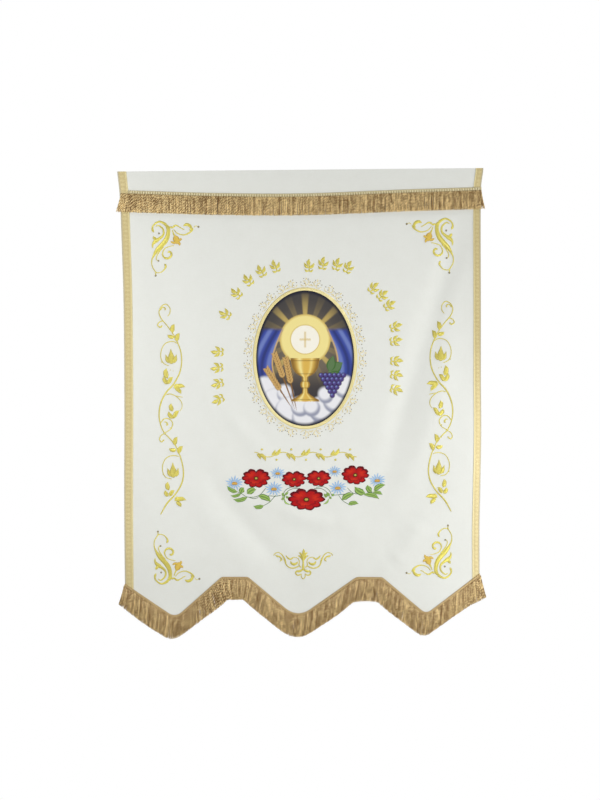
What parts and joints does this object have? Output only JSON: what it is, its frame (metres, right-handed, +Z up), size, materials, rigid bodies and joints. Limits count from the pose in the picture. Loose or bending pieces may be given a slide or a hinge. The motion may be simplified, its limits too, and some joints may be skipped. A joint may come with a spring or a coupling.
{
  "type": "church banner",
  "caption": "Hanging church banner in cream cloth with a pointed lower edge, gold fringes, side braids and an oval medallion.",
  "frame": {"origin": "middle of the banner's top edge, halfway through the cloth", "axes": "+Z up along the hanging cloth, +X to the right of someone facing the decorated side, +Y out of the plain back"},
  "size_m": [0.7894, 0.0258, 1.0038],
  "materials": {
    "cloth": "ecru plain-weave cloth with a soft, matt face",
    "braid": "narrow woven gold braid with a metallic thread",
    "fringe": "bronze gold bullion fringe of twisted cord, with a braided heading",
    "satin": "printed satin patch with a raised gold border"
  },
  "bodies": {
    "root": {"banner_cloth": "cloth", "galloon_left": "braid", "galloon_right": "braid", "fringe_top": "fringe", "fringe_bottom": "fringe", "medallion": "satin"}
  },
  "joints": []
}
